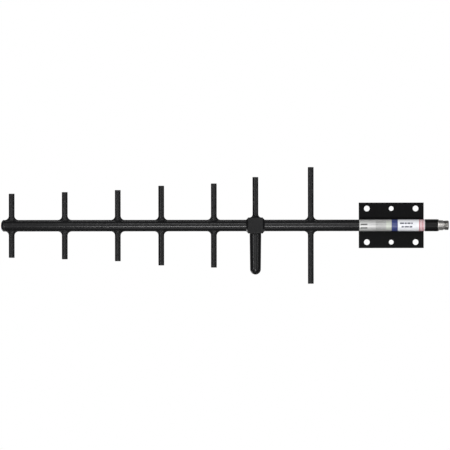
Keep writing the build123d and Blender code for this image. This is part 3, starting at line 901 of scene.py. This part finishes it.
KEPT_NODES = {
    "director_rod_1": (COAT, "black_coat"),
    "director_rod_2": (COAT, "black_coat"),
    "director_rod_3": (COAT, "black_coat"),
    "director_rod_4": (COAT, "black_coat"),
    "director_rod_5": (COAT, "black_coat"),
    "reflector_rod": (COAT, "black_coat"),
    "driven_rod_upper": (COAT, "black_coat"),
    "feed_block": (BLOCK_COAT, "black_coat"),
    "driven_rod_lower": (ALUMINIUM, "bare_aluminium"),
    "gamma_tube": (BRASS, "brass"),
    "gamma_strap": (ALUMINIUM, "bare_aluminium"),
    "strap_screw": (STEEL, "steel"),
    "gamma_spacer": (SPACER_PLASTIC, "white_insulator"),
    "feed_coax": (JACKET, "cable_jacket"),
    "coax_dielectric": (DIELECTRIC, "white_insulator"),
    "coax_centre_wire": (SILVERED, "silvered_wire"),
    "coax_ferrule": (BRASS, "brass"),
    "connector_insulator": (WHITE_BEAD, "white_insulator"),
    "connector_contact": (GOLD, "gold"),
    "connector_bushing": (ALUMINIUM, "bare_aluminium"),
    "bushing_screws": (STEEL, "steel"),
}

build_boom()
build_cap()
build_element_welds()
build_block_welds()
build_plate_welds()
build_plate()
build_cover()
build_jack()
build_sleeve()
build_label("silver_data_label", "data_label", "silver_label", data_label_material())
build_label("coloured_stripe_label", "stripe_label", "white_label", stripe_label_material())
for node, (material, slot) in KEPT_NODES.items():
    finish_node(node, material)


# ---------------------------------------------------------------- floor, light and camera

VIEW_CENTRE = (-0.2746, BOOM_Y * MM, 0.0)
VIEW_WIDTH = 0.7425
CAMERA_DISTANCE = 9.0
CAMERA_RAISE = 0.00085
FLOOR_CENTRE = (-0.275, 0.0, -2.5)
FLOOR_RADIUS = 3.5


def stage_material():
    """A pale sheet that is lit through from below, so that it looks pale and throws little light."""
    recipe = Recipe("pale_floor", Specular_IOR_Level=0.1)
    cloud = recipe.noise(3.0, 3.0)
    seen = recipe.add("ShaderNodeLightPath", output="Is Camera Ray")
    recipe.set(
        Base_Color=recipe.mix(cloud, (0.30, 0.30, 0.30), (0.36, 0.36, 0.36)),
        Roughness=0.9,
        Emission_Color=(1.0, 1.0, 1.0),
        Emission_Strength=recipe.math("MULTIPLY", seen, 0.80),
    )
    return recipe.material


def build_floor():
    """A pale round floor below the antenna, too low for the level camera to see."""
    work = bmesh.new()
    bmesh.ops.create_circle(work, cap_ends=True, segments=96, radius=FLOOR_RADIUS)
    bmesh.ops.translate(work, verts=work.verts, vec=FLOOR_CENTRE)
    mesh = bpy.data.meshes.new("floor")
    work.to_mesh(mesh)
    work.free()
    mesh.materials.append(stage_material())
    floor = bpy.data.objects.new("floor", mesh)
    bpy.context.scene.collection.objects.link(floor)


def soft_light(name, place, aim, width, height, power, spread=180.0):
    """A rectangular softbox, in metres and watts, turned to face the aim."""
    light = bpy.data.lights.new(name, "AREA")
    light.shape = "RECTANGLE"
    light.size = width
    light.size_y = height
    light.energy = power
    light.spread = radians(spread)
    lamp = bpy.data.objects.new(name, light)
    bpy.context.scene.collection.objects.link(lamp)
    lamp.location = place
    lamp.rotation_euler = (Vector(aim) - Vector(place)).to_track_quat("-Z", "Y").to_euler()
    lamp.visible_camera = False
    return lamp


def toward(azimuth, elevation, distance, centre):
    """A place round the centre. Azimuth 0 is the camera's side and 90 is the right."""
    a = radians(azimuth)
    e = radians(elevation)
    return (
        centre[0] + distance * sin(a) * cos(e),
        centre[1] - distance * cos(a) * cos(e),
        centre[2] + distance * sin(e),
    )


def build_lights():
    """One big box in front, two strips that draw the boom's highlights, and boxes round it and behind."""
    boom_place = (-0.31, BOOM_Y * MM, 0.0)
    jack_place = (0.09, BOOM_Y * MM, 0.0)
    soft_light("front_box", (-1.4, -3.6, 2.1), (-1.4, 0.0, 2.1), 4.6, 5.8, 52.0)
    soft_light("top_box", toward(0, 34, 1.6, boom_place), boom_place, 0.7, 0.12, 4.0)
    soft_light("low_box", toward(0, -20, 1.6, boom_place), boom_place, 0.68, 0.10, 13.4)
    soft_light("under_box", toward(0, -52, 1.7, boom_place), boom_place, 0.8, 0.5, 3.0)
    soft_light("jack_box", toward(3, 22, 1.6, jack_place), jack_place, 0.24, 1.4, 2.4)
    soft_light("left_box", toward(-42, 0, 1.6, VIEW_CENTRE), VIEW_CENTRE, 0.16, 0.9, 4.5)
    soft_light("right_box", toward(50, 8, 1.7, VIEW_CENTRE), VIEW_CENTRE, 0.2, 0.9, 4.0)
    soft_light("back_box", toward(180, 74, 1.8, (-0.42, BOOM_Y * MM, 0.0)), boom_place, 0.9, 0.3, 3.6)
    soft_light("rear_fill", toward(180, -19, 3.2, VIEW_CENTRE), VIEW_CENTRE, 3.0, 1.7, 2.0)
    soft_light("rear_left_low", toward(225, -34, 2.4, VIEW_CENTRE), VIEW_CENTRE, 1.9, 1.3, 26.0)
    soft_light("rear_right_low", toward(135, -34, 2.4, VIEW_CENTRE), VIEW_CENTRE, 1.9, 1.3, 5.0)


def build_world():
    """White to the camera, and a dim grey room to everything else."""
    world = bpy.data.worlds.new("studio")
    bpy.context.scene.world = world
    world.use_nodes = True
    tree = world.node_tree
    tree.nodes.clear()
    rays = tree.nodes.new("ShaderNodeLightPath")
    room = tree.nodes.new("ShaderNodeBackground")
    room.inputs["Color"].default_value = (0.97, 0.98, 1.0, 1.0)
    room.inputs["Strength"].default_value = 0.08
    sheet = tree.nodes.new("ShaderNodeBackground")
    sheet.inputs["Color"].default_value = (1.0, 1.0, 1.0, 1.0)
    sheet.inputs["Strength"].default_value = 1.0
    choose = tree.nodes.new("ShaderNodeMixShader")
    output = tree.nodes.new("ShaderNodeOutputWorld")
    tree.links.new(rays.outputs["Is Camera Ray"], choose.inputs[0])
    tree.links.new(room.outputs[0], choose.inputs[1])
    tree.links.new(sheet.outputs[0], choose.inputs[2])
    tree.links.new(choose.outputs[0], output.inputs[0])


def build_camera():
    """A long lens square to the antenna, with the view's width set at the boom."""
    camera = bpy.data.cameras.new("camera")
    camera.sensor_width = 36.0
    camera.lens = camera.sensor_width * CAMERA_DISTANCE / VIEW_WIDTH
    camera.clip_end = 50.0
    eye = bpy.data.objects.new("camera", camera)
    bpy.context.scene.collection.objects.link(eye)
    eye.location = (VIEW_CENTRE[0], VIEW_CENTRE[1] - CAMERA_DISTANCE, CAMERA_RAISE)
    eye.rotation_euler = (radians(90), radians(0.07), 0)
    bpy.context.scene.camera = eye
    bpy.context.scene.view_settings.view_transform = "Standard"


build_floor()
build_lights()
build_world()
build_camera()
